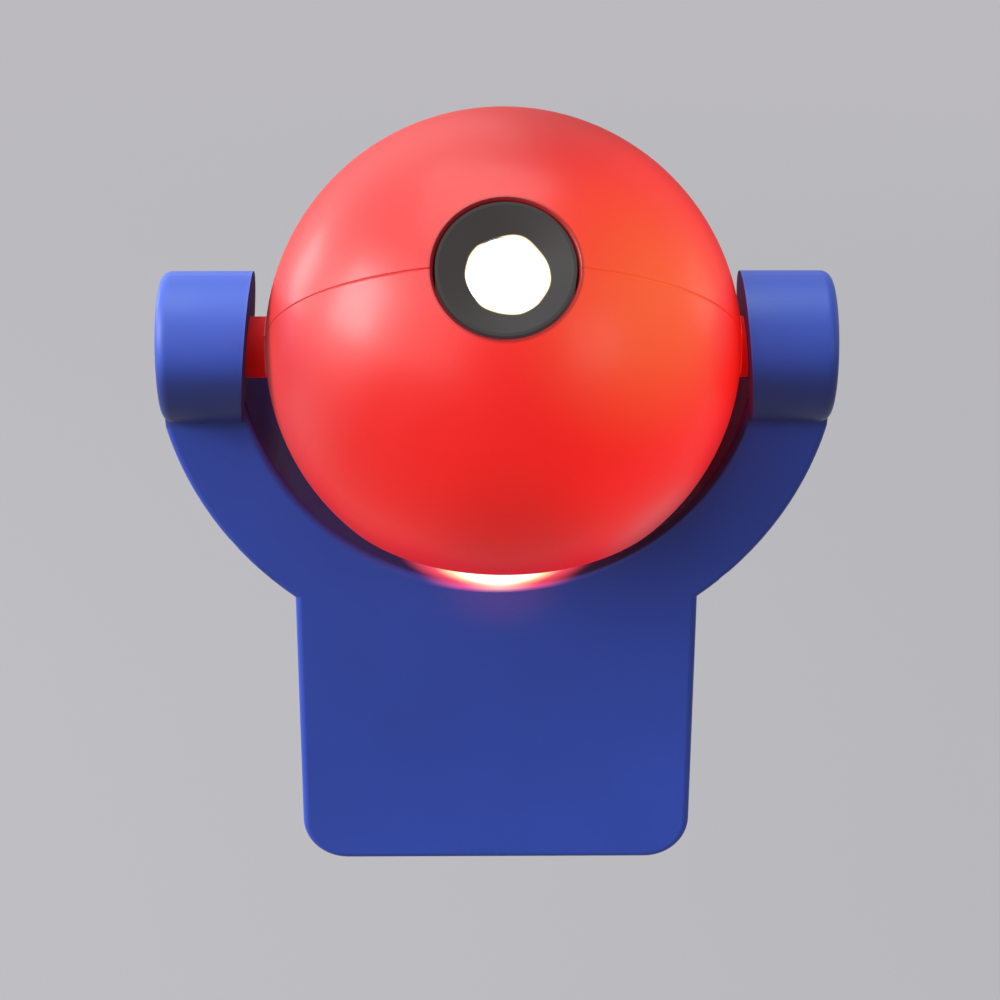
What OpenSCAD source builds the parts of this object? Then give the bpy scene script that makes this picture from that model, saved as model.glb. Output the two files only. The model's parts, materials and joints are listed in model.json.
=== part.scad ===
// Plug-in night light: a projector ball that tilts in the yoke of a wall plug.
// Millimetres. +Z is up, the plug's pins point along +Y and the front faces -Y.
// The origin is the centre of the plug body's end face.

/* [Ball] */
// Outer radius of the ball
ball_r = 26; // [24.5:0.5:28]
// Wall of the ball's two shells
ball_wall = 1.8; // [1.2:0.1:2.4]
// Sideways play that the ball has taken up towards the right arm
ball_shift = 0.7; // [0:0.1:0.8]
// Rise of the lens axis above level, with the ball at rest
lens_rise = 38.6; // [32:0.2:44]
// Half the width of the ball's open underside
opening_r = 20.2; // [19.6:0.1:20.8]
// Angle from the lens axis to the axis of the open underside
opening_angle = 138; // [136:0.5:140]
// Diameter of the trunnions that the ball turns on
trunnion_d = 6.7; // [5:0.1:7.4]
// Length of a trunnion inside its boss
trunnion_grip = 5.6; // [5:0.1:6]

/* [Lens and picture] */
// Outer diameter of the lens barrel, which is the black bezel
barrel_d = 14.2; // [13:0.2:16]
// Diameter of the clear opening in the bezel
aperture_d = 8; // [6:0.2:9]
// Depth of the bezel's dish
dish_depth = 1.6; // [1:0.1:2.2]
// Radius of both faces of the front lens
lens_face_r = 12; // [9:0.5:20]
// Thickness of the front lens at its edge
lens_edge = 1; // [0.8:0.1:1.6]
// Thickness of the picture slide
slide_t = 0.6; // [0.3:0.1:1]
// Wall of the light tube
tube_wall = 1.5; // [1.2:0.1:2]

/* [Yoke and housing] */
// Gap between the ball and its cradle
cradle_gap = 2.2; // [1.8:0.1:3]
// Width of the yoke's arms, seen from the front
arm_w = 9.4; // [8:0.1:11]
// How far each boss's outer face is cut inside the arc of the arms
boss_trim = 1.1; // [0.5:0.1:1.4]
// Radius of the bosses that carry the trunnions
boss_r = 8.3; // [7.5:0.1:9]
// Lean of each boss's inner face, in degrees
boss_lean = 5; // [0:1:8]
// Depth of the arms behind the trunnions
arm_depth = 7; // [6:0.25:8]
// Thickness of the front cover
front_t = 2; // [1.6:0.1:2.6]
// Rounding of the front cover's edges
edge_r = 0.8; // [0.4:0.1:1.2]
// Wall of the rear housing
wall = 1.8; // [1.4:0.1:2.2]
// Width of the housing below the arms
plate_w = 45.8; // [44.5:0.1:50]
// Rounding of the housing's bottom corners
corner_r = 5.2; // [4:0.1:6]
// Distance from the plug's centre down to the bottom edge
bottom_drop = 23.5; // [22.5:0.1:28]
// Height of the ball's axis above the plug's centre
axis_rise = 41; // [40:0.5:45]
// Gap between the ball and the face of the wall socket
socket_gap = 2.5; // [2:0.5:6]

/* [Plug] */
// Diameter of the plug's round body
plug_d = 36.6; // [35:0.2:37]
// Length of the plug's body in front of the housing
plug_len = 17; // [15:0.5:19]
// Wall of the plug's body
plug_wall = 2.2; // [1.8:0.1:2.8]
// Diameter of a pin
pin_d = 4.8; // [4:0.1:5]
// Diameter of a pin's root inside the plug's body
root_d = 4; // [3.2:0.1:4.4]
// Length of a pin in front of the body
pin_len = 19; // [17:0.5:20]
// Distance between the two pins
pin_pitch = 19; // [18:0.25:20]

/* [Lamp and circuit] */
// Diameter of the post that carries the lamp into the ball
post_d = 6.8; // [6.4:0.1:7.2]
// How far the post stands behind the ball's axis
post_back = 5.2; // [5:0.1:5.6]
// Diameter of the lamp's round board
lamp_board_d = 9.6; // [8.6:0.2:10]
// Width of the circuit board
board_w = 38; // [36:0.5:39]
// Thickness of the circuit board
board_t = 1.6; // [1:0.2:2]
// Clear distance from the front cover to the circuit board
board_gap = 3; // [2.6:0.1:4]
// Diameter of the light sensor's window
sensor_d = 6; // [5:0.5:7]

/* [Screws] */
// Diameter of the screws that close the housing and the ball
screw_d = 2.4; // [2:0.1:2.6]
// Diameter of their heads
head_d = 4.2; // [3.8:0.1:4.4]
// Height of their heads
head_h = 1.5; // [1.2:0.1:1.8]
// Diameter of the small screws of the circuit board and the post
small_screw_d = 1.8; // [1.4:0.1:2]

/* [Fits] */
// Clearance all round a trunnion in its bearing
running_gap = 0.06; // [0.03:0.01:0.1]
// Clearance between pieces that are fitted together
fit_gap = 0.15; // [0.1:0.05:0.25]
// Open line round the bezel
bezel_gap = 0.25; // [0.15:0.05:0.4]

/* [Hidden] */
$fn = 96;
tiny = 0.01;
far = 120;

// The ball's axis and the planes of the housing
axis_y = -(plug_len + socket_gap + ball_r);
axis_z = axis_rise;
face_y = axis_y - front_t;
back_y = -plug_len;
bottom_z = -bottom_drop;
cradle_r = ball_r + cradle_gap;
arc_r = cradle_r + arm_w;
arm_mid_r = (cradle_r + arc_r) / 2;
half_w = arc_r - boss_trim;
plate_top = axis_z - sqrt(arm_mid_r * arm_mid_r - plate_w * plate_w / 4);

// The plug: a flange inside the housing holds its body
plug_r = plug_d / 2;
plug_lip = 1.5;
plug_flange_r = plug_r + plug_lip;
plug_back_y = back_y - wall - plug_lip;
plug_end_wall = 3;
pin_sleeve = 1.8;
root_out = 0.4;
root_r = min(root_d, pin_d - 0.4) / 2;
root_bore_r = root_r + 0.05;
face_sink = 0.5;
shoulder_z = plug_flange_r + wall + 2 * fit_gap;
sweep_r = back_y - axis_y - arm_depth;
sweep_z = shoulder_z + sweep_r;

// The bosses and the ball's bearings
boss_face = cradle_r - 1;
boss_round = 1.2;
trunnion_r = trunnion_d / 2;
trunnion_end = boss_face + trunnion_grip;
bearing_end = trunnion_end + ball_shift + 0.6;
ring_from = boss_face + 2;
ring_w = 1.8;
ring_r = trunnion_r + 1.5;

// The screws that close the housing: place, length of the front cover's post
arm_screw_drop = 14;
arm_screw = [sqrt(arm_mid_r * arm_mid_r - arm_screw_drop * arm_screw_drop), axis_z - arm_screw_drop];
low_screw = [plate_w / 2 - 5, bottom_z + 5];
arm_post_len = 5;
low_post_len = 14;
seat_t = 2;
screw_r = screw_d / 2;
head_r = head_d / 2;
post_wall = 1.4;
tube_r = head_r + fit_gap + 1.2;
small_r = small_screw_d / 2;
small_head_r = small_r * 1.8;
small_head_h = 1;

// The circuit board hangs behind the front cover, below the lamp's post
foot_top = axis_z - cradle_r - wall - 1;
foot_t = 1.5;
foot_rim = 1.6;
foot_ear = post_d / 2 + small_head_r + 2;
board_front = axis_y + board_gap;
board_back = board_front + board_t;
board_top = foot_top - foot_t - 2.2;
board_bottom = bottom_z + wall + 1;
board_screw = [board_w / 2 - 3.5, board_top - 4];

// Parts on the circuit board: sizes, and places as [x, height above the housing's bottom edge]
film_at = [-12, 7.5];
film_size = [13, 10, 6];
can_at = [8, 11];
can_r = 4;
can_len = 11;
bridge_at = [2, 17.4];
bridge_size = [7, 3, 5];
leg_size = [0.8, 1.6, 1];
resistor_at = [-6, 16];
resistor_pitch = 4;
resistor_len = 6;
resistor_r = 1.1;
resistor_rise = 2;
wire_r = 0.3;
wire_span = 4.6;

// The lamp at the middle of the ball
post_r = post_d / 2;
post_y = axis_y + post_back;
post_bore_r = post_r - 1.2;
lamp_board_r = lamp_board_d / 2;
lamp_board_t = 1;
lamp_board_back = 3.2;
lamp_head_len = 5.5;
bend_back = post_back / cos(lens_rise);
lead_r = 0.45;
lead_side = 0.9;
sensor_y = axis_y + 12;

// The ball, with its lens axis along +Z
shell_in_r = ball_r - ball_wall;
opening_z = sqrt(ball_r * ball_r - opening_r * opening_r);
barrel_r = barrel_d / 2;
barrel_front = sqrt(ball_r * ball_r - barrel_r * barrel_r) - 0.2;
barrel_len = 10.8;
barrel_back = barrel_front - barrel_len;
tube_r_in = barrel_r + fit_gap;
tube_r_out = tube_r_in + tube_wall;
slide_ring_t = 1.4;
condenser_t = 3;
tube_lip = 1;
slide_front = barrel_back - slide_ring_t;
spacer_front = slide_front - slide_t;
condenser_front = spacer_front - slide_ring_t;
tube_back = condenser_front - condenser_t - tube_lip;
tube_front = barrel_back + 4;
collar_back = tube_back + 2.5;
collar_len = tube_front - collar_back - 0.5;
collar_wall = 1.4;
clamp_gap = 0.08;
key_w = 1.2;
key_h = 0.8;
key_z = collar_back + collar_len / 2;
web_t = 1.4;
web_from = tube_r_out + (key_h + collar_wall) / 2;
barrel_wall = 0.9;
lens_r = barrel_r - barrel_wall - fit_gap;
lens_sag = lens_face_r - sqrt(lens_face_r * lens_face_r - lens_r * lens_r);
aperture_r = aperture_d / 2;
aperture_back = barrel_front - dish_depth - 0.5;
lens_front_edge = aperture_back - lens_sag;
retainer_len = 2;
lens_seat_w = 0.6;
retainer_wall = 0.9;
seat_gap = 0.03;
shell_screw = [ball_r - 5, -7];
shell_post_r = head_r + fit_gap + 1;
shell_seat = 6;

// Draws a shape of x and z, from y0 to y1
module along_y(y0, y1) translate([0, y1, 0]) rotate([90, 0, 0]) linear_extrude(y1 - y0) children();

// Draws a shape of y and z, from x0 to x1
module along_x(x0, x1) translate([x0, 0, 0]) rotate([90, 0, 90]) linear_extrude(x1 - x0) children();

// A rod along Y between y0 and y1 at [x, z]
module rod_y(at, r, y0, y1) along_y(y0, y1) translate(at) circle(r);

// Both sides of the yoke
module both_sides() {
  children();
  mirror([1, 0, 0]) children();
}

// The two screw places on each side, as [place, length of the post]
screws_right = [[arm_screw, arm_post_len], [low_screw, low_post_len]];

// ---- Yoke outline ----

// The housing below the arms, with round bottom corners
module plate_outline(inset = 0) {
  w = plate_w / 2 - inset;
  r = corner_r - inset;
  z0 = bottom_z + inset;
  translate([-w, z0 + r]) square([2 * w, plate_top - z0 - r]);
  translate([-w + r, z0]) square([2 * (w - r), r + tiny]);
  for (side = [-1, 1]) translate([side * (w - r), z0 + r]) circle(r);
}

// The arms' half disc and the housing below it, without the ball's space
module filled_outline(inset = 0) {
  intersection() {
    translate([0, axis_z]) circle(arc_r - inset);
    translate([inset - half_w, axis_z - arc_r]) square([2 * (half_w - inset), arc_r]);
  }
  plate_outline(inset);
}

// The side view of the rear housing, with the sweep behind the arms
module side_outline(inset = 0) {
  difference() {
    translate([axis_y - tiny, bottom_z]) square([back_y - inset - axis_y + tiny, axis_z - bottom_z]);
    translate([back_y, sweep_z]) circle(sweep_r + inset);
    translate([back_y - sweep_r - inset, sweep_z]) square([far, far]);
  }
}

// ---- Bosses ----

// A right-hand boss, with its outer edge rounded and its inner face leaning
module boss_form() {
  difference() {
    translate([0, axis_y, axis_z]) rotate([0, 90, 0]) rotate_extrude() {
      translate([0, boss_face - 2]) square([boss_r, half_w - boss_face + 2 - boss_round]);
      square([boss_r - boss_round, half_w]);
      translate([boss_r - boss_round, half_w - boss_round]) circle(boss_round);
    }
    translate([boss_face, axis_y, axis_z]) rotate([0, -boss_lean, 0])
      translate([-far, -far / 2, -far / 2]) cube([far, far, far]);
  }
}

// What the trunnion and its friction ring take out of a boss
module bearing_space() {
  translate([0, axis_y, axis_z]) rotate([0, 90, 0]) {
    translate([0, 0, boss_face - 3]) cylinder(r = trunnion_r + running_gap, h = bearing_end - boss_face + 3);
    translate([0, 0, ring_from]) cylinder(r = ring_r, h = ring_w);
  }
}

module front_half() translate([-far / 2, axis_y - far, -far / 2]) cube([far, far, far * 2]);
module rear_half() translate([-far / 2, axis_y, -far / 2]) cube([far, far, far * 2]);

// ---- Front cover ----

// A slab's section from x0 to x1, its front edge rounded at x1, and at x0 too if both is true
module slab_section(x0, x1, both = false) {
  left = both ? x0 + edge_r : x0;
  translate([x0, 0]) square([x1 - x0, front_t - edge_r]);
  translate([left, 0]) square([x1 - edge_r - left, front_t]);
  for (x = both ? [left, x1 - edge_r] : [x1 - edge_r])
    translate([x, front_t - edge_r]) circle(edge_r, $fn = 32);
}

// The arms' band: half a turn below the ball's axis
module front_band() intersection() {
  translate([0, axis_y, axis_z]) rotate([90, 0, 0]) rotate([0, 0, 180])
    rotate_extrude(angle = 180) slab_section(cradle_r, arc_r, true);
  translate([-half_w, face_y - 1, axis_z - far]) cube([2 * half_w, far, far]);
}

// The flat plate below the arms
module front_plate() {
  w = plate_w / 2;
  side_h = plate_top - bottom_z - corner_r;
  difference() {
    union() {
      translate([0, axis_y, bottom_z + corner_r]) linear_extrude(side_h) mirror([0, 1])
        slab_section(-w, w, true);
      along_x(corner_r - w, w - corner_r) translate([axis_y, bottom_z + corner_r]) rotate(-90) mirror([0, 1])
        slab_section(-tiny, corner_r);
      for (side = [0, 1]) mirror([side, 0, 0]) translate([w - corner_r, axis_y, bottom_z + corner_r])
        rotate([90, 0, 0]) rotate([0, 0, -90]) rotate_extrude(angle = 90) slab_section(0, corner_r);
    }
    translate([0, axis_y + 1, axis_z]) rotate([90, 0, 0]) cylinder(r = arm_mid_r - 1, h = front_t + 2);
  }
}

module front_cover() color("royalblue") {
  difference() {
    union() {
      front_band();
      front_plate();
      both_sides() intersection() {
        boss_form();
        front_half();
      }
      // posts that the closing screws bite into, and the board's stand-offs
      both_sides() for (s = screws_right)
        rod_y(s[0], screw_r + post_wall, axis_y - tiny, axis_y + s[1]);
      both_sides() rod_y(board_screw, small_r + post_wall, axis_y - tiny, board_front);
      locating_rib();
    }
    both_sides() bearing_space();
    both_sides() for (s = screws_right)
      rod_y(s[0], screw_r, axis_y - 1, axis_y + s[1] + 1);
    both_sides() rod_y(board_screw, small_r, axis_y - 1, board_front + 1);
  }
}

// A low rib that centres the cover inside the housing's walls
module locating_rib() {
  rib_t = 1;
  rib_h = 1.4;
  rib_out = plate_w / 2 - wall - fit_gap;
  both_sides() translate([rib_out - rib_t, axis_y - tiny, bottom_z + 11])
    cube([rib_t, rib_h + tiny, 16]);
  translate([-8, axis_y - tiny, bottom_z + wall + fit_gap]) cube([16, rib_h + tiny, rib_t]);
}

// ---- Rear housing ----

module rear_form() {
  difference() {
    intersection() {
      along_y(axis_y, back_y) filled_outline();
      along_x(-far, far) side_outline();
    }
    translate([0, axis_y, axis_z]) sphere(cradle_r);
  }
}

module rear_cavity() {
  difference() {
    intersection() {
      along_y(axis_y - tiny, back_y - wall) filled_outline(wall);
      along_x(-far, far) side_outline(wall);
    }
    translate([0, axis_y, axis_z]) sphere(cradle_r + wall);
    both_sides() translate([0, axis_y, axis_z]) rotate([0, 90, 0]) cylinder(r = boss_r, h = far);
  }
}

// Tubes for the closing screws, and the pads that the lamp's post hangs on
module rear_inner_form() {
  both_sides() for (s = screws_right)
    rod_y(s[0], tube_r, axis_y + s[1], back_y);
  translate([0, post_y, foot_top]) {
    cylinder(r = post_r + foot_rim, h = 5);
    for (side = [-1, 1]) translate([side * foot_ear, 0, 0]) cylinder(r = small_r + post_wall, h = 6);
  }
}

module rear_housing() color("royalblue") {
  difference() {
    union() {
      difference() {
        rear_form();
        rear_cavity();
      }
      intersection() {
        rear_form();
        rear_inner_form();
      }
      both_sides() intersection() {
        boss_form();
        rear_half();
      }
    }
    both_sides() bearing_space();
    // the plug's body, the post, the sensor's window
    rod_y([0, 0], plug_r + fit_gap, back_y - wall - 1, back_y + 1);
    translate([0, post_y, foot_top - 1]) cylinder(r = post_r + fit_gap, h = 12);
    translate([0, sensor_y, bottom_z - 1]) cylinder(r = sensor_d / 2, h = wall + 2);
    both_sides() {
      translate([foot_ear, post_y, foot_top - 1]) cylinder(r = small_r, h = 4.5);
      for (s = screws_right) {
        rod_y(s[0], screw_r + fit_gap, axis_y + s[1] - 1, back_y + 1);
        rod_y(s[0], head_r + fit_gap, axis_y + s[1] + seat_t, back_y + 1);
      }
    }
  }
}

// ---- Screws ----

// A pan head screw along Y: its head's seat is at y = 0 and its tip points along -Y
module screw_y(r, length, hr, hh) {
  rotate([90, 0, 0]) difference() {
    union() {
      cylinder(r = r, h = length - r);
      translate([0, 0, length - r]) cylinder(r1 = r, r2 = r * 0.3, h = r);
      translate([0, 0, -hh]) cylinder(r = hr, h = hh);
    }
    // crossed slots
    for (turn = [0, 90]) rotate([0, 0, turn])
      translate([-hr * 0.65, -hr * 0.13, -hh - 1]) cube([hr * 1.3, hr * 0.26, 1 + hh * 0.55]);
  }
}

module cover_screws() color("silver") both_sides() for (s = screws_right)
  translate([s[0][0], axis_y + s[1] + seat_t, s[0][1]])
    screw_y(screw_r, s[1] + seat_t - 0.6, head_r, head_h);

module board_screws() color("silver") both_sides()
  translate([board_screw[0], board_back, board_screw[1]])
    screw_y(small_r, board_t + board_gap - 0.4, small_head_r, small_head_h);

module post_screws() color("silver") both_sides()
  translate([foot_ear, post_y, foot_top - foot_t]) rotate([90, 0, 0]) mirror([0, 1, 0])
    screw_y(small_r, foot_t + 3, small_head_r, small_head_h);

// ---- Plug ----

module plug_body() color("royalblue") {
  end_round = 1.2;
  difference() {
    union() {
      rotate([90, 0, 0]) rotate_extrude() {
        translate([0, end_round]) square([plug_r, -plug_back_y - end_round]);
        square([plug_r - end_round, end_round + tiny]);
        translate([plug_r - end_round, end_round]) circle(end_round, $fn = 48);
        translate([0, -plug_back_y - plug_lip]) square([plug_flange_r, plug_lip]);
      }
    }
    // hollow, with a sleeve round each pin
    difference() {
      rod_y([0, 0], plug_r - plug_wall, plug_back_y - 1, -plug_end_wall);
      both_sides() rod_y([pin_pitch / 2, 0], root_r + pin_sleeve, plug_back_y - 2, 0);
      translate([-pin_pitch / 2, plug_back_y + 1, -0.8]) cube([pin_pitch, -plug_back_y, 1.6]);
    }
    // bores for the pins' roots, wider at the end face to clear the pins
    both_sides() rod_y([pin_pitch / 2, 0], root_bore_r, plug_back_y - 1, 1);
    both_sides() rod_y([pin_pitch / 2, 0], pin_d / 2 + fit_gap, -face_sink, 1);
    // grooves for the socket's side ribs and its earth clips
    both_sides() translate([plug_r - 1.4, back_y, -2.6]) cube([3, far, 5.2]);
    for (side = [-1, 1]) translate([-3, back_y, side * plug_r - 1.5]) cube([6, far, 3]);
  }
}

module plug_pins() color("gainsboro") both_sides() translate([pin_pitch / 2, 0, 0]) rotate([-90, 0, 0]) {
  tip = pin_d * 0.3;
  translate([0, 0, plug_back_y]) cylinder(r = root_r, h = root_out + tiny - plug_back_y);
  translate([0, 0, root_out]) cylinder(d = pin_d, h = pin_len - tip - root_out);
  translate([0, 0, pin_len - tip]) rotate_extrude() intersection() {
    translate([pin_d / 2 - tip, 0]) circle(tip, $fn = 48);
    square([pin_d, pin_d]);
  }
  translate([0, 0, pin_len - tip]) cylinder(r = pin_d / 2 - tip, h = tip);
}

// Brass strips from the pins to the circuit board
module pin_contacts() color("goldenrod") both_sides() {
  strip_t = 0.7;
  strip_w = 4;
  eye_r = root_r + 1.4;
  strip_x = pin_pitch / 2 + eye_r;
  rod_y([pin_pitch / 2, 0], eye_r, plug_back_y - strip_t, plug_back_y);
  translate([pin_pitch / 2, plug_back_y - strip_t, -strip_w / 2])
    cube([eye_r, strip_t, strip_w]);
  translate([strip_x - strip_t, board_back, -strip_w / 2])
    cube([strip_t, plug_back_y - board_back, strip_w]);
}

// ---- Circuit ----

module circuit_board() color("darkgreen") difference() {
  along_y(board_front, board_back) translate([-board_w / 2, board_bottom])
    square([board_w, board_top - board_bottom]);
  both_sides() {
    rod_y(low_screw, screw_r + post_wall + 0.6, board_front - 1, board_back + 1);
    rod_y(board_screw, small_r + fit_gap, board_front - 1, board_back + 1);
  }
}

module film_capacitor() color("gold")
  translate([film_at[0], board_back, bottom_z + film_at[1]]) cube(film_size);

module filter_capacitor() color("black") difference() {
  at = [can_at[0], bottom_z + can_at[1]];
  rod_y(at, can_r, board_back, board_back + can_len);
  // the sleeve's rolled end and the vent cross
  translate([at[0], board_back + 1.4, at[1]]) rotate([90, 0, 0]) rotate_extrude()
    translate([can_r + 0.25, 0]) circle(0.45, $fn = 24);
  for (turn = [0, 90]) translate([at[0], board_back + can_len, at[1]]) rotate([0, turn, 0])
    cube([can_r * 1.25, 0.4, 0.4], center = true);
}

module bridge_rectifier() color("dimgray") {
  leg_in = 0.9;
  x0 = bridge_at[0];
  z0 = bottom_z + bridge_at[1];
  translate([x0, board_back + 0.4, z0]) cube(bridge_size);
  for (x = [x0 + leg_in, x0 + bridge_size[0] - leg_in - leg_size[0]])
    for (z = [z0, z0 + bridge_size[2]]) translate([x, board_back, z - leg_size[2] / 2]) cube(leg_size);
}

// Three axial resistors, each with its two legs in the board
module resistors() color("tan") for (i = [0:2])
  translate([resistor_at[0], board_back + resistor_rise, bottom_z + resistor_at[1] + resistor_pitch * i]) {
    cap_len = 1.2;
    rotate([0, 90, 0]) {
      cylinder(r = resistor_r, h = resistor_len, center = true);
      for (side = [-1, 1]) translate([0, 0, side * (resistor_len - cap_len) / 2])
        cylinder(r = resistor_r + 0.2, h = cap_len, center = true);
      cylinder(r = wire_r, h = 2 * wire_span, center = true);
    }
    for (side = [-1, 1]) translate([side * wire_span, 0, 0]) {
      sphere(wire_r, $fn = 24);
      rotate([90, 0, 0]) cylinder(r = wire_r, h = resistor_rise);
    }
  }

module light_sensor() color("orange") {
  sensor_t = 2;
  sensor_top = bottom_z + wall + sensor_t;
  lead_z = sensor_top + 0.8;
  translate([0, sensor_y, bottom_z + wall]) cylinder(d = sensor_d - 0.8, h = sensor_t);
  for (x = [-1.2, 1.2]) translate([x, sensor_y, 0]) {
    translate([0, 0, sensor_top - tiny]) cylinder(r = wire_r, h = lead_z - sensor_top + tiny);
    translate([0, 0, lead_z]) sphere(wire_r, $fn = 24);
    translate([0, 0, lead_z]) rotate([90, 0, 0]) cylinder(r = wire_r, h = sensor_y - board_back);
  }
}

module sensor_window() color("white") translate([0, sensor_y, bottom_z])
  cylinder(d = sensor_d, h = wall);

// ---- Lamp on its post ----

// The middle of the yoke, with +Z along the lens axis at rest
module at_lamp() translate([0, axis_y, axis_z]) rotate([90 - lens_rise, 0, 0]) children();

module lamp_post() color("white") {
  bend_z = axis_z - bend_back * sin(lens_rise);
  foot_z = foot_top - foot_t;
  head_back = bend_back + 3;
  difference() {
    union() {
      translate([0, post_y, foot_z]) cylinder(r = post_r, h = bend_z - foot_z);
      // foot with two ears
      translate([0, post_y, foot_z]) linear_extrude(foot_t) {
        circle(post_r + foot_rim);
        for (side = [-1, 1]) translate([side * foot_ear, 0]) circle(small_head_r + 0.6);
        square([2 * foot_ear, 2 * small_head_r], center = true);
      }
      at_lamp() translate([0, 0, -head_back])
        cylinder(r = lamp_board_r + 0.2, h = head_back - lamp_board_back);
    }
    translate([0, post_y, foot_z - 1]) cylinder(r = post_bore_r, h = bend_z - foot_z + 2);
    at_lamp() translate([0, 0, -bend_back - 1]) cylinder(r = post_bore_r + 0.4, h = bend_back);
    both_sides() translate([foot_ear, post_y, foot_z - 1]) cylinder(r = small_r + fit_gap, h = foot_t + 2);
  }
}

module lamp_board() color("white") at_lamp() translate([0, 0, -lamp_board_back])
  cylinder(r = lamp_board_r, h = lamp_board_t);

module lamp_led() color("lightyellow") at_lamp() translate([0, 0, lamp_board_t - lamp_board_back]) {
  translate([-2.5, -2.5, 0]) cube([5, 5, 0.8]);
  translate([0, 0, 0.8]) intersection() {
    sphere(2);
    cylinder(r = 3, h = 3);
  }
}

// Two leads from the circuit board up the post; each bend is a bead a little fatter than the lead
module lamp_leads() color("red") for (side = [-1, 1]) {
  bend_z = axis_z - bend_back * sin(lens_rise);
  low_z = board_top - 1.5;
  bead_r = lead_r * 1.15;
  translate([side * lead_side, post_y, 0]) {
    translate([0, 0, low_z]) cylinder(r = lead_r, h = bend_z - low_z);
    translate([0, 0, low_z]) rotate([90, 0, 0]) cylinder(r = lead_r, h = post_y - board_back);
    for (z = [low_z, bend_z]) translate([0, 0, z]) sphere(bead_r, $fn = 32);
  }
  at_lamp() translate([side * lead_side, 0, -bend_back])
    cylinder(r = lead_r, h = bend_back - lamp_board_back);
}

module friction_rings() color("dimgray") both_sides()
  translate([ring_from, axis_y, axis_z]) rotate([0, 90, 0]) difference() {
    cylinder(r = ring_r, h = ring_w);
    translate([0, 0, -1]) cylinder(r = trunnion_r + running_gap, h = ring_w + 2);
  }

// ---- Ball ----

module in_ball() translate([ball_shift, axis_y, axis_z]) rotate([90 - lens_rise, 0, 0]) children();

// Half a shell with the light tube's clamp, in section: x from the lens axis, y along it
module shell_section() difference() {
  union() {
    difference() {
      circle(ball_r);
      circle(shell_in_r);
    }
    translate([0, collar_back]) square([tube_r_out + collar_wall, collar_len]);
  }
  // the light tube and its key, and the bezel's hole with its countersink
  translate([-far, -far]) square([far, 2 * far]);
  square([tube_r_out + clamp_gap, tube_front + clamp_gap]);
  translate([0, key_z - key_w / 2 - clamp_gap])
    square([tube_r_out + key_h + clamp_gap, key_w + 2 * clamp_gap]);
  translate([0, tube_front]) square([barrel_r + bezel_gap, far]);
  polygon([[0, barrel_front - 0.5], [barrel_r, barrel_front - 0.5], [barrel_r + 1.6, ball_r], [0, ball_r]]);
  // nothing is left at the far pole, where the underside is open
  translate([0, -ball_r]) square([1, ball_r]);
}

// Webs that carry the clamp, for the upper half
module half_webs() intersection() {
  translate([0, 0, collar_back]) {
    for (side = [-1, 1]) translate([side > 0 ? web_from : -ball_r, 0, 0])
      cube([ball_r - web_from, web_t, collar_len]);
    translate([-web_t / 2, web_from, 0]) cube([web_t, ball_r, collar_len]);
  }
  sphere(shell_in_r + 0.5);
}

// A trunnion's half, on the right
module half_trunnion() {
  root = ball_r - ball_wall * 0.6;
  translate([root, 0, 0]) rotate([90, 0, 90]) linear_extrude(trunnion_end - root) intersection() {
    circle(trunnion_r);
    translate([0, -far]) square([far, 2 * far]);
  }
}

// A post for the screw that joins the shells, on the right
module shell_post() intersection() {
  translate([shell_screw[0], 0, shell_screw[1]]) rotate([-90, 0, 0]) cylinder(r = shell_post_r, h = far);
  sphere(shell_in_r + 0.5);
}

// One shell: side is 1 for the upper and -1 for the lower
module shell(side) difference() {
  mirror([0, side > 0 ? 0 : 1, 0]) {
    rotate_extrude(angle = 180) shell_section();
    half_webs();
    both_sides() {
      half_trunnion();
      shell_post();
    }
  }
  // the open underside, which lies in the lower shell
  if (side < 0) rotate([opening_angle, 0, 0]) translate([0, 0, opening_z])
    cylinder(r = ball_r + 1, h = ball_r);
  // the screws, which go in from below
  both_sides() translate([shell_screw[0], 0, shell_screw[1]]) rotate([90, 0, 0]) {
    cylinder(r = screw_r, h = 14, center = true);
    translate([0, 0, shell_seat]) cylinder(r = head_r + fit_gap, h = far);
  }
  // the fine line where the shells meet
  rotate([90, 0, 0]) rotate_extrude() translate([ball_r + 0.05, 0]) circle(0.16, $fn = 24);
}

module upper_shell() color("red") in_ball() shell(1);
module lower_shell() color("red") in_ball() shell(-1);

module shell_screws() color("silver") in_ball() for (x = [-1, 1])
  translate([x * shell_screw[0], -shell_seat, shell_screw[1]]) mirror([0, 1, 0])
    screw_y(screw_r, shell_seat + 6, head_r, head_h);

module light_tube() color("black") in_ball() {
  difference() {
    union() {
      translate([0, 0, tube_back]) cylinder(r = tube_r_out, h = tube_front - tube_back);
      translate([0, 0, key_z - key_w / 2]) cylinder(r = tube_r_out + key_h, h = key_w);
    }
    translate([0, 0, tube_back + tube_lip]) cylinder(r = tube_r_in, h = far);
    translate([0, 0, tube_back - 1]) cylinder(r = tube_r_in - 1, h = far);
  }
}

// A ring that fills the light tube's bore
module tube_ring(z, length, hole_r) translate([0, 0, z]) difference() {
  cylinder(r = tube_r_in, h = length);
  translate([0, 0, -1]) cylinder(r = hole_r, h = length + 2);
}

// Flat towards the lamp and crowned towards the picture
module condenser_lens() color("lightcyan") in_ball() {
  crown_r = 22;
  base = condenser_front - condenser_t;
  intersection() {
    translate([0, 0, base]) cylinder(r = tube_r_in, h = condenser_t);
    translate([0, 0, base + condenser_t - crown_r]) sphere(crown_r);
  }
}

module slide_spacer() color("black") in_ball() tube_ring(condenser_front, slide_ring_t, tube_r_in - 1.2);
module slide_ring() color("black") in_ball() tube_ring(slide_front, slide_ring_t, tube_r_in - 1.2);

module picture_slide() color("deepskyblue") in_ball() translate([0, 0, spacer_front])
  cylinder(r = tube_r_in, h = slide_t);

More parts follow.
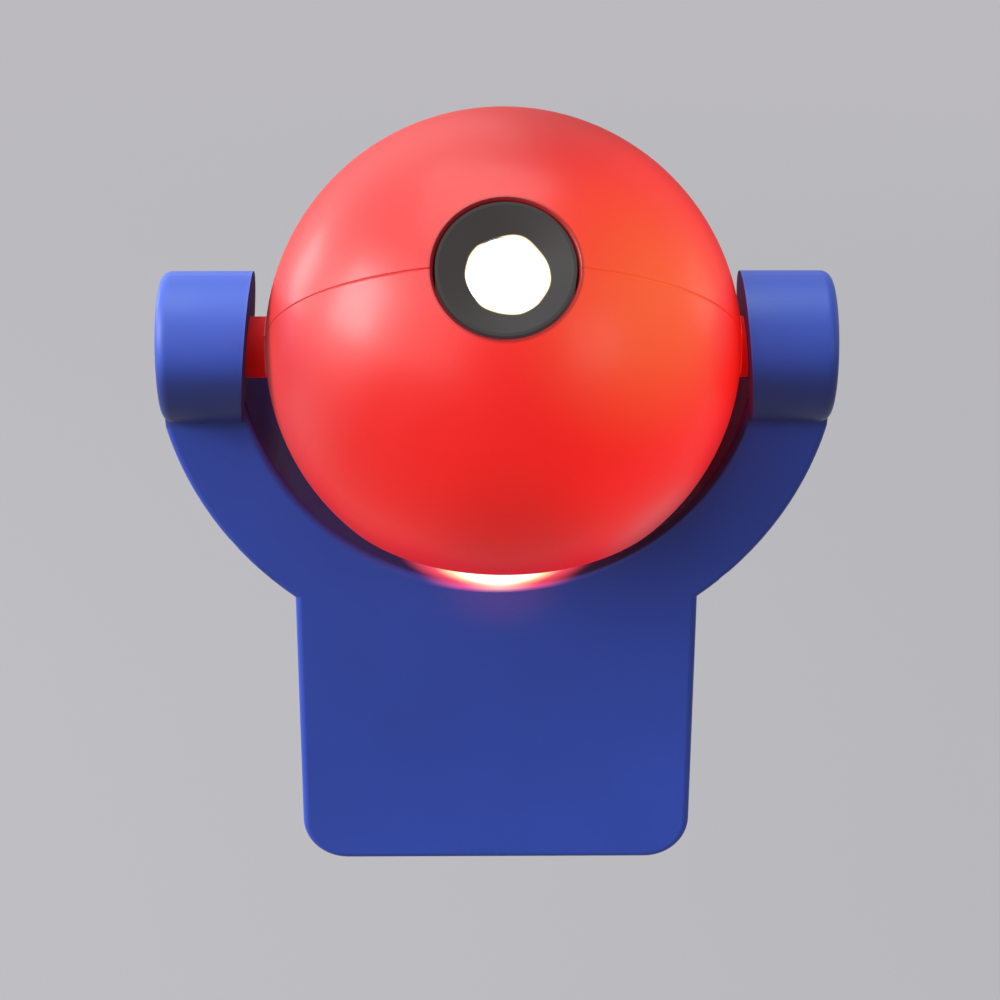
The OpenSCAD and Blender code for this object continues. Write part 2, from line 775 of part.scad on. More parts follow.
// How far the lens's crown stands above its edge, a given width inside that edge
function crown_rise(w) = sqrt(pow(lens_face_r, 2) - pow(lens_r - w, 2)) - lens_face_r + lens_sag;

module lens_barrel() color([0.12, 0.12, 0.13]) in_ball() difference() {
  translate([0, 0, barrel_back]) cylinder(r = barrel_r, h = barrel_len);
  seat_z = lens_front_edge + crown_rise(lens_seat_w) + seat_gap;
  // dish, clear opening, room for the lens's crown, and the lens's bore
  translate([0, 0, barrel_front - dish_depth])
    cylinder(r1 = aperture_r, r2 = barrel_r - 0.3, h = dish_depth + tiny);
  translate([0, 0, aperture_back - 1]) cylinder(r = aperture_r, h = far);
  translate([0, 0, seat_z - tiny]) cylinder(r = lens_r - lens_seat_w, h = aperture_back - seat_z + tiny);
  translate([0, 0, barrel_back - 1]) cylinder(r = lens_r, h = seat_z - barrel_back + 1);
}

module front_lens() color("lightcyan") in_ball() {
  mid = lens_front_edge - lens_edge / 2;
  offset_z = lens_face_r - lens_sag - lens_edge / 2;
  intersection() {
    translate([0, 0, mid - lens_sag - lens_edge]) cylinder(r = lens_r, h = 2 * (lens_sag + lens_edge));
    translate([0, 0, mid - offset_z]) sphere(lens_face_r);
    translate([0, 0, mid + offset_z]) sphere(lens_face_r);
  }
}

module lens_retainer() color("black") in_ball() {
  front = lens_front_edge - lens_edge - crown_rise(retainer_wall) - seat_gap;
  translate([0, 0, front - retainer_len]) difference() {
    cylinder(r = lens_r, h = retainer_len);
    translate([0, 0, -1]) cylinder(r = lens_r - retainer_wall, h = retainer_len + 2);
  }
}

front_cover();
rear_housing();
plug_body();
plug_pins();
pin_contacts();
circuit_board();
board_screws();
film_capacitor();
filter_capacitor();
bridge_rectifier();
resistors();
light_sensor();
sensor_window();
lamp_post();
post_screws();
lamp_board();
lamp_led();
lamp_leads();
friction_rings();
cover_screws();
upper_shell();
lower_shell();
shell_screws();
light_tube();
condenser_lens();
slide_spacer();
picture_slide();
slide_ring();
lens_barrel();
front_lens();
lens_retainer();
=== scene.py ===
"""A plug-in night light: a red projector ball that tilts in a blue yoke."""

import json
import math

import bpy
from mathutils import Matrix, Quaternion, Vector


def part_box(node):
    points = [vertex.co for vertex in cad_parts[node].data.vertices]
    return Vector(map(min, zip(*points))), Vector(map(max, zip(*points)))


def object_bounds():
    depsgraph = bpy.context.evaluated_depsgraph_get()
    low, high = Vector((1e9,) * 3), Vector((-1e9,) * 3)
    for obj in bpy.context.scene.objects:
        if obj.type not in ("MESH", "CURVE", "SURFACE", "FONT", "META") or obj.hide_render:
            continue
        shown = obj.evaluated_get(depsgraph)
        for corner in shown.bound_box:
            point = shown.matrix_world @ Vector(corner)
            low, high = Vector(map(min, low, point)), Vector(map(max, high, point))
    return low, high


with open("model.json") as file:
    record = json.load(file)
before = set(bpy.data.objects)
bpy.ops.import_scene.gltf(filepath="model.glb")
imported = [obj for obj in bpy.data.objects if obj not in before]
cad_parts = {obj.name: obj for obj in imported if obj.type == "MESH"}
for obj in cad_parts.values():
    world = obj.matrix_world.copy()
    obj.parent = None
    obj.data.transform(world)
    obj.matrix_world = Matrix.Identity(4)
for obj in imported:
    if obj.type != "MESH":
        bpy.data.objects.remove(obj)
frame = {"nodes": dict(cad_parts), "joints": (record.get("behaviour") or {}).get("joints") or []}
cad_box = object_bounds()
nodes = frame["nodes"]

# ---- Places, in metres ----
MM = 0.001


def middle(name):
    """The middle of that piece's box."""
    low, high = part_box(name)
    return (low + high) / 2


AXIS = Vector(frame["joints"][0]["pos_m"])              # the ball's axis, at the middle of the yoke
BALL_CENTRE = Vector((middle("shell_screws").x, AXIS.y, AXIS.z))
BALL_R = 26 * MM
LENS_MIDDLE = middle("front_lens")
LENS_WAY = (LENS_MIDDLE - BALL_CENTRE).normalized()
BOWL_LIP = AXIS + Vector((0.4, -1.2, -28.2)) * MM
PLATE_MIDDLE = AXIS + Vector((0, -2, -48)) * MM
BOWL_R = 28.2 * MM
BOSS_R = 8.3 * MM
SEAM_R = 7.45 * MM                                      # the open line round the bezel
ORANGE_SPOT = BALL_CENTRE + Vector((14.2, -17.6, 12.6)) * MM
PINK_SHEEN_SPOT = BALL_CENTRE + Vector((16.2, -13.2, -15.5)) * MM
POST_SHADOW_SPOT = BALL_CENTRE + Vector((0.5, -23.0, -13.0)) * MM

# ---- Colours ----
YOKE_BLUE = (0.037, 0.080, 0.475)
LIT_LOW_BLUE = (0.042, 0.100, 0.590)
HIGHLIGHT_BLUE = (0.08, 0.18, 0.85)
GAP_SHADE = (0.016, 0.008, 0.070)
INNER_SHADE_BLUE = (0.022, 0.016, 0.20)
UNDER_SHADE_BLUE = (0.025, 0.044, 0.235)
PLUG_BLUE = (0.033, 0.072, 0.440)
BALL_RED = (0.520, 0.009, 0.007)
SEAM_SHADE_RED = (0.30, 0.006, 0.010)
STUB_RED = (0.50, 0.006, 0.012)
GLOW_RED = (1.0, 0.008, 0.004)
SHEEN_PINK = (1.0, 0.24, 0.27)
GLOW_ORANGE = (1.0, 0.15, 0.03)
BEZEL_BLACK = (0.015, 0.014, 0.014)
BEZEL_LIT = (0.028, 0.023, 0.023)
INNER_BLACK = (0.012, 0.012, 0.012)
LAMP_WHITE = (1.0, 1.0, 0.97)
LAMP_YELLOW = (1.0, 0.75, 0.35)
FRINGE_PINK = (0.95, 0.06, 0.09)
FRINGE_YELLOW = (1.3, 0.95, 0.5)
GLARE_WHITE = (1.6, 1.55, 1.4)
HALO_PURPLE = (0.045, 0.005, 0.018)
STEEL = (0.58, 0.58, 0.57)
NICKEL = (0.74, 0.72, 0.68)
BRASS = (0.72, 0.50, 0.20)
SLEEVE_BLACK = (0.03, 0.03, 0.04)
RESISTOR_TAN = (0.58, 0.40, 0.22)
LED_YELLOW = (0.95, 0.85, 0.45)
BLACK = (0, 0, 0)


# ---- Node helpers ----
class Tree:
    """Short calls that fill a node tree."""

    def __init__(self, tree):
        self.tree = tree

    def add(self, kind, inputs=None, **settings):
        node = self.tree.nodes.new(kind)
        for name, value in settings.items():
            setattr(node, name, value)
        self.feed(node, inputs or {})
        return node

    def join(self, value, socket):
        """Links the value to the socket, or sets it there when it is a number, a place or a colour."""
        if isinstance(value, bpy.types.NodeSocket):
            self.tree.links.new(value, socket)
        elif socket.type == "RGBA":
            socket.default_value = (*value, 1)
        else:
            socket.default_value = value

    def feed(self, node, inputs):
        for name, value in inputs.items():
            self.join(value, node.inputs[name])

    def use(self, group, inputs=None):
        """The outputs of a shared node group."""
        return self.add("ShaderNodeGroup", inputs, node_tree=group).outputs

    def math(self, operation, *values):
        node = self.add("ShaderNodeMath", operation=operation)
        self.feed(node, dict(enumerate(values)))
        return node.outputs["Value"]

    def product(self, *values):
        whole = values[0]
        for value in values[1:]:
            whole = self.math("MULTIPLY", whole, value)
        return whole

    def vector(self, operation, *values, output="Vector"):
        node = self.add("ShaderNodeVectorMath", operation=operation)
        self.feed(node, dict(enumerate(values)))
        return node.outputs[output]

    def remap(self, value, low, high, to_low=0.0, to_high=1.0, smooth=False):
        node = self.add("ShaderNodeMapRange", {"Value": value, "From Min": low, "From Max": high,
                                               "To Min": to_low, "To Max": to_high},
                        interpolation_type="SMOOTHSTEP" if smooth else "LINEAR")
        return node.outputs["Result"]

    def blend(self, factor, first, second, mode="MIX"):
        node = self.add("ShaderNodeMix", {"Factor": factor}, data_type="RGBA", blend_type=mode)
        sockets = [s for s in node.inputs if s.type == "RGBA"]
        for value, socket in zip((first, second), sockets):
            self.join(value, socket)
        return next(s for s in node.outputs if s.type == "RGBA")

    def noise(self, size, **inputs):
        """An even pattern of light and dark spots of about that size."""
        scale = self.math("DIVIDE", 1.0, size)
        node = self.add("ShaderNodeTexNoise", {"Vector": self.place(), "Scale": scale, **inputs})
        return node.outputs["Fac"]

    def parts(self, vector):
        """The vector's X, Y and Z."""
        return self.add("ShaderNodeSeparateXYZ", {"Vector": vector}).outputs

    def normal(self):
        return self.add("ShaderNodeNewGeometry").outputs["Normal"]

    def place(self):
        return self.add("ShaderNodeTexCoord").outputs["Object"]

    def from_point(self, centre):
        return self.vector("SUBTRACT", self.place(), centre)

    def offset(self, centre):
        """The surface's offset from the centre, as X, Y and Z."""
        return self.parts(self.from_point(centre))

    def away(self, centre):
        """How far the surface lies from the centre."""
        return self.vector("LENGTH", self.from_point(centre), output="Value")

    def along(self, centre, way):
        """How far the surface lies from the centre, measured along that way."""
        way = Vector(way).normalized()
        return self.vector("DOT_PRODUCT", self.from_point(centre), way, output="Value")

    def off_axis(self, centre, way):
        """How far the surface lies from the line through the centre along that way."""
        across = self.vector("CROSS_PRODUCT", self.from_point(centre), way)
        return self.vector("LENGTH", across, output="Value")

    def band(self, value, centre, half, soft=0.05 * MM):
        """1 where the value is within half of the centre."""
        away = self.math("ABSOLUTE", self.math("SUBTRACT", value, centre))
        return self.remap(away, half + soft, half)


def new_group(name, inputs, outputs):
    """A shader node group with these sockets, given as {name: (socket type, default)}."""
    tree = bpy.data.node_groups.new(name, "ShaderNodeTree")
    for socket, (kind, default) in inputs.items():
        made = tree.interface.new_socket(socket, in_out="INPUT", socket_type=kind)
        made.default_value = default
    for socket, kind in outputs.items():
        tree.interface.new_socket(socket, in_out="OUTPUT", socket_type=kind)
    inner = Tree(tree)
    return inner, inner.add("NodeGroupInput").outputs, inner.add("NodeGroupOutput")


FLOAT = "NodeSocketFloat"
VECTOR = "NodeSocketVector"


def moulded_group():
    """The surface of moulded plastic: a fine grain, a slow flow pattern and slight tone changes."""
    t, given, out = new_group("moulded", {"Grain": (FLOAT, 0.25 * MM), "Flow": (FLOAT, 9 * MM)},
                              {"Height": FLOAT, "Tone": FLOAT, "Sheen": FLOAT})
    grain = t.noise(given["Grain"], Detail=3.0, Roughness=0.6)
    flow = t.noise(given["Flow"], Detail=2.0)
    t.feed(out, {"Height": grain, "Tone": flow, "Sheen": t.remap(flow, 0.3, 0.7)})
    return t.tree


def glow_group():
    """1 at Centre, falling smoothly from Core to 0 at Reach."""
    inputs = {"Centre": (VECTOR, (0, 0, 0)), "Reach": (FLOAT, 10 * MM), "Core": (FLOAT, 0.0)}
    t, given, out = new_group("glow", inputs, {"Glow": FLOAT})
    away = t.vector("DISTANCE", t.place(), given["Centre"], output="Value")
    t.feed(out, {"Glow": t.remap(away, given["Reach"], given["Core"], smooth=True)})
    return t.tree


def edge_group():
    """1 along the sharp edges of a piece, where light catches."""
    t, given, out = new_group("edge", {"Width": (FLOAT, 0.3 * MM)}, {"Edge": FLOAT})
    rounded = t.add("ShaderNodeBevel", {"Radius": given["Width"]}, samples=6).outputs["Normal"]
    agreement = t.vector("DOT_PRODUCT", rounded, t.normal(), output="Value")
    t.feed(out, {"Edge": t.remap(agreement, 0.995, 0.9)})
    return t.tree


MOULDED = moulded_group()
GLOW = glow_group()
EDGE = edge_group()


class Finish(Tree):
    """A material with one Principled shader."""

    def __init__(self, name, color, roughness, **values):
        self.material = bpy.data.materials.new(name)
        self.material.use_nodes = True
        super().__init__(self.material.node_tree)
        self.shader = self.tree.nodes["Principled BSDF"]
        self.set(Base_Color=color, Roughness=roughness, **values)

    def set(self, **inputs):
        """Feeds the shader's inputs, named with _ for each space."""
        self.feed(self.shader, {name.replace("_", " "): value for name, value in inputs.items()})

    def surface(self, color, rough, grain=0.25 * MM, depth=0.004 * MM, tone=0.08, flow=9 * MM):
        """Gives the shader a fine grain, and a colour and a roughness that vary slowly."""
        made = self.use(MOULDED, {"Grain": grain, "Flow": flow})
        if isinstance(color, bpy.types.NodeSocket):
            factor = self.remap(made["Tone"], 0, 1, 1 - tone, 1 + tone)
            grey = self.add("ShaderNodeCombineColor", {"Red": factor, "Green": factor, "Blue": factor})
            shade = self.blend(1.0, color, grey.outputs["Color"], "MULTIPLY")
        else:
            dark = tuple(c * (1 - tone) for c in color)
            light = tuple(min(1, c * (1 + tone)) for c in color)
            shade = self.blend(made["Tone"], dark, light)
        bump = self.add("ShaderNodeBump", {"Height": made["Height"], "Distance": depth})
        self.roughness = self.remap(made["Sheen"], 0, 1, *rough)
        self.set(Base_Color=shade, Roughness=self.roughness, Normal=bump.outputs["Normal"])
        return shade


def put(finish, *names):
    """Gives those pieces that finish."""
    for name in names:
        data = nodes[name].data
        data.materials.clear()
        data.materials.append(finish.material)


# ---- Yoke and ball ----
def lip_light(f):
    """Lamplight that falls out of the ball on the lip of its bowl."""
    near = f.use(GLOW, {"Centre": BOWL_LIP, "Reach": 14 * MM, "Core": 11 * MM})["Glow"]
    lit = f.product(near, f.remap(f.parts(f.normal())["Z"], 0.05, 0.5, smooth=True))

    def oval(centre, halves):
        """How far the surface lies from the centre of an oval with these half sizes: 1 at its edge."""
        scales = tuple(1 / half if half else 0 for half in halves)
        return f.vector("LENGTH", f.vector("MULTIPLY", f.from_point(centre), scales), output="Value")

    def pool(under, color, wide, deep, soft):
        """Lays the colour, in half an oval along the lip, over what is under it."""
        away = oval(BOWL_LIP + Vector((0, 2.8, 0)) * MM, (wide, deep, None))
        return f.blend(f.remap(away, 1 + soft, 1 - soft, smooth=True), under, color)

    halo = f.remap(oval(BOWL_LIP, (9 * MM, None, 7 * MM)), 1.0, 0.2, smooth=True)
    under = f.blend(halo, BLACK, HALO_PURPLE)
    light = pool(under, FRINGE_PINK, 9.8 * MM, 4.5 * MM, 0.22)
    light = pool(light, FRINGE_YELLOW, 6.7 * MM, 3.35 * MM, 0.22)
    light = pool(light, GLARE_WHITE, 4.8 * MM, 3.0 * MM, 0.2)
    return f.blend(lit, under, light)


def yoke_finish():
    f = Finish("yoke_blue", YOKE_BLUE, 0.45)
    # painted light: the blue grows a little lighter towards the bottom, as if more light fell there
    lighter = f.remap(f.along(PLATE_MIDDLE, (0.35, 0, -1)), -8 * MM, 20 * MM, smooth=True)
    shade = f.surface(f.blend(lighter, YOKE_BLUE, LIT_LOW_BLUE), rough=(0.42, 0.52))
    # painted highlight: the sharp edges turn a lighter blue, where light catches
    edge = f.use(EDGE, {"Width": 0.35 * MM})["Edge"]
    shade = f.blend(f.product(edge, 0.35), shade, HIGHLIGHT_BLUE)
    # the undersides of the bosses, the bowl and the sides of the arms next to the ball lie in shade
    normal = f.parts(f.normal())
    under = f.product(f.remap(normal["Z"], 0.25, -0.25, smooth=True),
                      f.remap(f.off_axis(AXIS, (1, 0, 0)), BOSS_R + 0.9 * MM, BOSS_R + 0.5 * MM))
    shade = f.blend(under, shade, UNDER_SHADE_BLUE)
    place = f.offset(BALL_CENTRE)
    bowl = f.product(f.remap(f.away(BALL_CENTRE), BOWL_R + 0.4 * MM, BOWL_R + 0.1 * MM),
                     f.remap(place["Z"], -4 * MM, -10 * MM, smooth=True))
    inner = f.remap(f.product(place["X"], normal["X"]), -18 * MM, -25 * MM)
    shaded = f.math("MAXIMUM", bowl, inner)
    f.set(Base_Color=f.blend(shaded, shade, f.blend(inner, GAP_SHADE, INNER_SHADE_BLUE)),
          Roughness=f.math("MAXIMUM", f.roughness, f.product(shaded, 0.85)),
          Emission_Color=lip_light(f), Emission_Strength=1.0)
    return f


def ball_glow(f, seam, stub, grazing):
    """Painted glow on the ball's shell, standing in for the lamp's light as it shines through the thin
    wall.
    """
    # painted light: red, with a painted pinkish sheen at the left, an orange glow at the upper right of
    # the lens and a painted pink sheen at the low right
    left_sheen = f.remap(f.along(BALL_CENTRE, (-1, 0, 0.45)), 12 * MM, 24 * MM, smooth=True)
    orange = f.use(GLOW, {"Centre": ORANGE_SPOT, "Reach": 19 * MM})["Glow"]
    pink = f.use(GLOW, {"Centre": PINK_SHEEN_SPOT, "Reach": 9 * MM, "Core": 1 * MM})["Glow"]
    tint = f.blend(orange, f.blend(left_sheen, GLOW_RED, SHEEN_PINK), GLOW_ORANGE)
    tint = f.blend(f.product(pink, 0.45), tint, SHEEN_PINK)
    # painted light and shade: the glow grows from the top left to the low right, and is dimmed at the
    # back, the top and the bottom, in the seam, at grazing angles and in front of the post, as a painted
    # shadow of the post
    across = f.remap(f.along(BALL_CENTRE, (1, 0, -0.6)), -BALL_R, BALL_R, 0.10, 0.95)
    post = f.use(GLOW, {"Centre": POST_SHADOW_SPOT, "Reach": 13 * MM, "Core": 2 * MM})["Glow"]
    back = f.remap(f.offset(BALL_CENTRE)["Y"], -4 * MM, 20 * MM, 1.0, 0.25)
    top = f.remap(f.along(BALL_CENTRE, (-0.5, 0.4, 0.9)), 8 * MM, 20 * MM, 1.0, 0.25, smooth=True)
    low = f.remap(f.along(BALL_CENTRE, (0.35, 0, -1)), 10 * MM, 25 * MM, 1.0, 0.64)
    strength = f.product(across, f.remap(post, 0, 1, 1, 0.72), f.remap(pink, 0, 1, 1, 0.8), back, top, low,
                         f.remap(stub, 0, 1, 1, 0), f.remap(seam, 0, 1, 1, 0.15),
                         f.remap(grazing, 0.7, 1.0, 1.0, 0.45))
    # painted glow: the trunnions glow faintly next to the ball
    root = f.product(stub, f.remap(f.away(BALL_CENTRE), BALL_R, BALL_R + 2.6 * MM, 0.22, 0.05))
    return f.blend(f.math("MAXIMUM", strength, root), BLACK, f.blend(stub, tint, GLOW_RED))


def ball_finish():
    f = Finish("ball_red", BALL_RED, 0.42, Coat_Roughness=0.2, Specular_IOR_Level=0.45)
    shade = f.surface(BALL_RED, rough=(0.38, 0.46), grain=0.3 * MM, depth=0.002 * MM, tone=0.05)
    # painted shade: the open line round the bezel turns a darker red
    seam = f.product(f.band(f.off_axis(BALL_CENTRE, LENS_WAY), SEAM_R, 0.15 * MM, 0.3 * MM),
                     f.remap(f.along(BALL_CENTRE, LENS_WAY), 20 * MM, 22 * MM))
    stub = f.remap(f.away(BALL_CENTRE), BALL_R + 0.02 * MM, BALL_R + 0.12 * MM)
    # at grazing angles the gloss goes soft, so that no lamp burns out there
    grazing = f.add("ShaderNodeLayerWeight").outputs["Facing"]
    dull = f.math("MAXIMUM", f.product(stub, 0.85), f.remap(grazing, 0.5, 0.85, 0.4, 0.62))
    f.set(Base_Color=f.blend(stub, f.blend(seam, shade, SEAM_SHADE_RED), STUB_RED),
          Coat_Weight=f.product(f.remap(stub, 0, 1, 0.13, 0.0), f.remap(grazing, 0.55, 0.8, 1, 0)),
          Roughness=f.math("MAXIMUM", f.roughness, dull),
          Emission_Color=ball_glow(f, seam, stub, grazing), Emission_Strength=1.0)
    return f


def plastic(name, color, rough, tone=0.08, depth=0.004 * MM, **values):
    f = Finish(name, color, rough, **values)
    f.surface(color, rough=(rough - 0.05, rough + 0.05), depth=depth, tone=tone)
    return f


def bezel_finish():
    f = plastic("bezel_black", BEZEL_BLACK, 0.55, tone=0.12, Specular_IOR_Level=0.12)
    # painted light: the whole bezel glows faintly, and the lens's glare spills over the edge of the
    # opening, in a soft patch that isn't quite round
    radius = f.off_axis(BALL_CENTRE + Vector((0.2, 0, -0.2)) * MM, LENS_WAY)
    wobble = f.remap(f.noise(3.2 * MM, Detail=0.0), 0.3, 0.7, -0.16 * MM, 0.16 * MM)
    radius = f.math("ADD", radius, wobble)
    spill = f.remap(radius, 4.28 * MM, 4.12 * MM, smooth=True)
    tint = f.blend(f.remap(radius, 4.24 * MM, 3.9 * MM), LAMP_YELLOW, LAMP_WHITE)
    f.set(Emission_Color=f.blend(spill, BEZEL_LIT, tint), Emission_Strength=1.4)
    return f


def lit_lens():
    f = Finish("lit_lens", (0.9, 0.95, 1.0), 0.05, Transmission_Weight=0.6, IOR=1.49)
    bright = f.remap(f.off_axis(BALL_CENTRE, LENS_WAY), 5.4 * MM, 4.6 * MM)
    f.set(Emission_Color=f.blend(bright, (0.5, 0.4, 0.2), LAMP_WHITE), Emission_Strength=1.5)
    return f


# ---- Metal, glass and the parts inside ----
def metal(name, color, rough):
    f = Finish(name, color, rough, Metallic=1.0)
    f.surface(color, rough=(rough - 0.05, rough + 0.08), grain=0.15 * MM, depth=0.002 * MM, tone=0.06,
              flow=3 * MM)
    return f


def clear(name, color, rough, glow=None):
    f = Finish(name, color, rough, Transmission_Weight=0.9, IOR=1.49)
    made = f.use(MOULDED, {"Grain": 0.4 * MM, "Flow": 4 * MM})
    f.set(Roughness=f.remap(made["Sheen"], 0, 1, rough, rough + 0.04))
    if glow:
        faint = tuple(c * 0.9 for c in glow)
        f.set(Emission_Color=f.blend(made["Tone"], glow, faint), Emission_Strength=1.0)
    return f


def with_metal(name, color, rough, mask_of):
    """Plastic, with metal legs where mask_of says 1."""
    f = Finish(name, color, rough)
    mask = mask_of(f)
    f.surface(f.blend(mask, color, STEEL), rough=(rough - 0.05, rough + 0.05))
    f.set(Metallic=mask)
    return f


def board_finish():
    f = Finish("board_green", (0.02, 0.16, 0.06), 0.35, Coat_Weight=0.4, Coat_Roughness=0.15)
    offset = f.offset(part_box("circuit_board")[0])
    flat = f.add("ShaderNodeCombineXYZ", {"X": offset["X"], "Y": offset["Z"]}).outputs["Vector"]
    # a pattern of fine lines stands for the tracks under the lacquer
    tracks = f.add("ShaderNodeTexBrick", {"Vector": flat, "Scale": 120.0,
                                          "Color1": (0.018, 0.15, 0.055), "Color2": (0.022, 0.18, 0.065),
                                          "Mortar": (0.05, 0.30, 0.10), "Mortar Size": 0.03,
                                          "Brick Width": 0.9, "Row Height": 0.32})
    f.surface(tracks.outputs["Color"], rough=(0.3, 0.4), tone=0.1)
    return f


def capacitor_finish():
    """A black sleeve with a grey stripe, and a bare metal end."""
    f = Finish("capacitor_black", SLEEVE_BLACK, 0.3)
    low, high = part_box("filter_capacitor")
    offset = f.offset(low)
    length = (high - low).y
    end = f.remap(offset["Y"], length - 0.3 * MM, length - 0.2 * MM)
    stripe = f.remap(offset["X"], 1.1 * MM, 1.0 * MM)
    sleeve = f.blend(stripe, SLEEVE_BLACK, (0.45, 0.46, 0.48))
    f.surface(f.blend(end, sleeve, (0.7, 0.7, 0.7)), rough=(0.25, 0.35))
    f.set(Metallic=end)
    return f


def resistor_finish():
    """Four coloured bands round a tan body, and bare wires."""
    f = Finish("resistor_tan", RESISTOR_TAN, 0.4)
    across = f.offset(middle("resistors"))["X"]
    wire = f.remap(f.math("ABSOLUTE", across), 2.95 * MM, 3.05 * MM)
    bands = ((-1.3, (0.16, 0.05, 0.02)),               # brown
             (-0.5, (0.02, 0.02, 0.02)),               # black
             (0.3, (0.5, 0.02, 0.02)),                 # red
             (1.5, (0.45, 0.30, 0.06)))                # gold
    shade = RESISTOR_TAN
    for place, color in bands:
        shade = f.blend(f.band(across, place * MM, 0.18 * MM), shade, color)
    f.surface(f.blend(wire, shade, STEEL), rough=(0.35, 0.45))
    f.set(Metallic=wire)
    return f


def led_finish():
    f = Finish("led_yellow", LED_YELLOW, 0.3)
    f.surface(LED_YELLOW, rough=(0.25, 0.35))
    dome = f.remap(f.along(middle("lamp_led"), LENS_WAY), -0.1 * MM, 0.2 * MM)
    f.set(Emission_Color=f.blend(dome, (0.02, 0.02, 0.02), (1.0, 0.95, 0.75)), Emission_Strength=4.0)
    return f


def legs_beyond(name, axis, half):
    """A mask of what lies further than half from the part's middle on that axis."""
    def mask(f):
        return f.remap(f.math("ABSOLUTE", f.offset(middle(name))[axis]), half, half + 0.05 * MM)
    return mask


def sensor_leads(f):
    """A mask of the leads, which rise out of the sensor's body."""
    return f.remap(f.offset(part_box("light_sensor")[0])["Z"], 2.0 * MM, 2.05 * MM)


put(yoke_finish(), "front_cover", "rear_housing")
put(plastic("plug_blue", PLUG_BLUE, 0.5, depth=0.006 * MM), "plug_body")
put(ball_finish(), "upper_shell", "lower_shell")
put(bezel_finish(), "lens_barrel")
put(plastic("inner_black", INNER_BLACK, 0.6), "light_tube", "slide_spacer", "slide_ring", "lens_retainer")
put(lit_lens(), "front_lens")
put(clear("lens_clear", (0.93, 0.97, 1.0), 0.03, glow=(0.25, 0.25, 0.22)), "condenser_lens")
put(clear("slide_film", (0.35, 0.6, 0.85), 0.1, glow=(0.20, 0.28, 0.33)), "picture_slide")
put(clear("window_clear", (0.9, 0.93, 0.95), 0.08), "sensor_window")
put(metal("pin_nickel", NICKEL, 0.24), "plug_pins")
put(metal("contact_brass", BRASS, 0.34), "pin_contacts")
put(metal("screw_steel", STEEL, 0.32), "board_screws", "post_screws", "cover_screws", "shell_screws")
put(board_finish(), "circuit_board")
put(plastic("capacitor_yellow", (0.72, 0.50, 0.07), 0.4, tone=0.05), "film_capacitor")
put(capacitor_finish(), "filter_capacitor")
put(with_metal("chip_black", (0.022, 0.022, 0.022), 0.5, legs_beyond("bridge_rectifier", "Z", 2.5 * MM)),
    "bridge_rectifier")
put(resistor_finish(), "resistors")
put(with_metal("sensor_amber", (0.70, 0.30, 0.05), 0.25, sensor_leads), "light_sensor")
put(plastic("post_white", (0.78, 0.78, 0.75), 0.5, tone=0.03), "lamp_post")
put(plastic("lamp_board_white", (0.82, 0.82, 0.82), 0.35, tone=0.03), "lamp_board")
put(led_finish(), "lamp_led")
put(plastic("lead_red", (0.45, 0.03, 0.03), 0.45), "lamp_leads")
put(plastic("ring_rubber", (0.04, 0.04, 0.04), 0.75, depth=0.01 * MM), "friction_rings")


# ---- Camera ----
CAMERA_PITCH = math.radians(24.01)                 # looking down
CAMERA_YAW = math.radians(0.67)
CAMERA_ROLL = math.radians(0.14)
CAMERA_LENS = 86.36
CAMERA_DISTANCE = 0.2703
CAMERA_AIM = AXIS + Vector((0.00039, 0, -0.01839))


def set_camera():
    ahead = Vector((math.sin(CAMERA_YAW) * math.cos(CAMERA_PITCH),
                    math.cos(CAMERA_YAW) * math.cos(CAMERA_PITCH), -math.sin(CAMERA_PITCH)))
    data = bpy.data.cameras.new("camera")
    data.lens = CAMERA_LENS
    data.sensor_width = 36
    data.clip_start = 0.01
    camera = bpy.data.objects.new("camera", data)
    camera.location = CAMERA_AIM - ahead * CAMERA_DISTANCE
    turn = ahead.to_track_quat("-Z", "Y") @ Quaternion((0, 0, 1), CAMERA_ROLL)
    camera.rotation_euler = turn.to_euler()
    bpy.context.scene.collection.objects.link(camera)
    bpy.context.scene.camera = camera


# ---- Floor and light ----
FLOOR_DROP = 0.10                                  # how far below the light it lies
FLOOR_HALF = 3.0
FADE_START = 0.3                                   # its fade into the backdrop, from the light
FADE_END = 0.85
FLOOR_PALE = (0.156, 0.138, 0.143)                 # what the lamps light
FLOOR_GLOW = (0.300, 0.294, 0.312)                 # what the camera sees without them
FLOOR_BOUNCE = (0.035, 0.030, 0.030)               # what the floor throws back on the light
BACKDROP = (0.500, 0.490, 0.520)
WORLD_LIGHT = (0.110, 0.117, 0.130)


def seen_rays(t):
    """1 for what the camera sees, also in metal and through glass."""
    rays = t.add("ShaderNodeLightPath").outputs
    return t.math("MAXIMUM", t.math("MAXIMUM", rays["Is Camera Ray"], rays["Is Glossy Ray"]),
                  rays["Is Transmission Ray"])


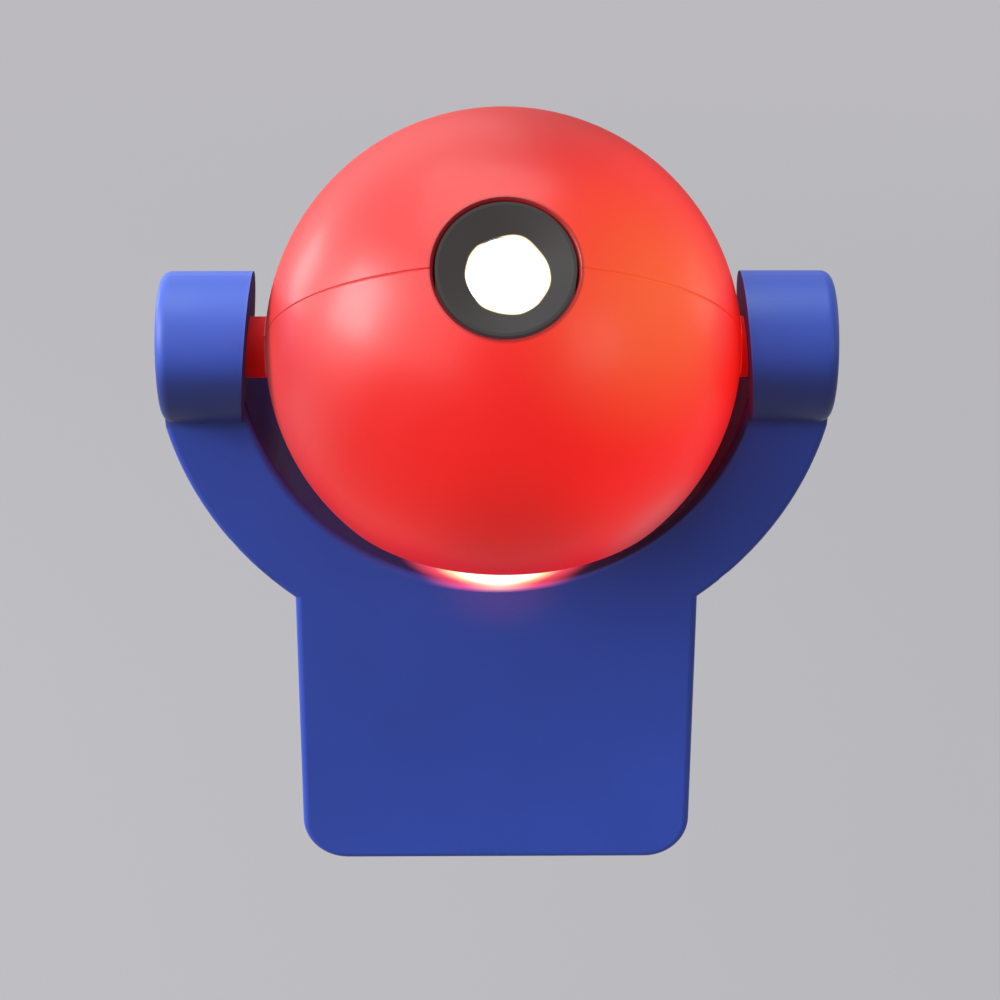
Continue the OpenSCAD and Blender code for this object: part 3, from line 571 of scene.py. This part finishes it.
def make_floor():
    """A pale floor that fades into the backdrop away from the light."""
    height = cad_box[0][2] - FLOOR_DROP
    corners = [(x * FLOOR_HALF, y * FLOOR_HALF, height) for x, y in ((-1, -1), (1, -1), (1, 1), (-1, 1))]
    mesh = bpy.data.meshes.new("floor")
    mesh.from_pydata(corners, [], [(0, 1, 2, 3)])
    floor = bpy.data.objects.new("floor", mesh)
    bpy.context.scene.collection.objects.link(floor)
    material = bpy.data.materials.new("floor")
    material.use_nodes = True
    t = Tree(material.node_tree)
    seen = seen_rays(t)
    far = t.remap(t.away(AXIS), FADE_START, FADE_END, smooth=True)
    lit = t.blend(far, t.blend(seen, FLOOR_BOUNCE, FLOOR_PALE), BLACK)
    glow = t.blend(seen, BLACK, t.blend(far, FLOOR_GLOW, BACKDROP))
    t.feed(material.node_tree.nodes["Principled BSDF"],
           {"Base Color": lit, "Roughness": 0.9, "Specular IOR Level": 0.0,
            "Emission Color": glow, "Emission Strength": 1.0})
    mesh.materials.append(material)


def area_light(name, way, distance, size, power, color=(1, 1, 1)):
    """A soft square lamp that shines on the ball from that direction."""
    data = bpy.data.lights.new(name, "AREA")
    data.size = size
    data.energy = power
    data.color = color
    lamp = bpy.data.objects.new(name, data)
    way = Vector(way).normalized()
    lamp.location = AXIS + way * distance
    lamp.rotation_euler = (-way).to_track_quat("-Z", "Y").to_euler()
    bpy.context.scene.collection.objects.link(lamp)


def make_world():
    """A dim even light, seen as the backdrop's colour."""
    world = bpy.data.worlds.new("world")
    bpy.context.scene.world = world
    world.use_nodes = True
    t = Tree(world.node_tree)
    color = t.blend(seen_rays(t), WORLD_LIGHT, BACKDROP)
    t.feed(world.node_tree.nodes["Background"], {"Color": color, "Strength": 1.0})


set_camera()
make_floor()
make_world()
area_light("sky", (-0.15, 0.05, 1.0), 2.2, 1.9, 40, (0.80, 1.0, 1.0))
area_light("behind", (-0.46, 0.72, 0.48), 1.6, 1.9, 11, (0.78, 0.98, 1.0))
area_light("wall", (-0.80, 0.58, 0.12), 1.0, 0.3, 1.9, (0.72, 0.96, 1.0))
area_light("window", (-0.935, -0.15, 0.355), 0.8, 0.34, 6.0, (0.95, 0.97, 1.0))
area_light("front", (-0.62, -0.66, 0.5), 2.0, 1.7, 20)
area_light("fill", (0.7, -0.7, 0.30), 1.2, 0.5, 1.6, (1.0, 0.97, 0.95))
area_light("rim", (0.95, 0.45, 0.1), 1.0, 0.3, 0.6, (1.0, 0.85, 0.7))

bpy.context.scene.view_settings.view_transform = "Standard"
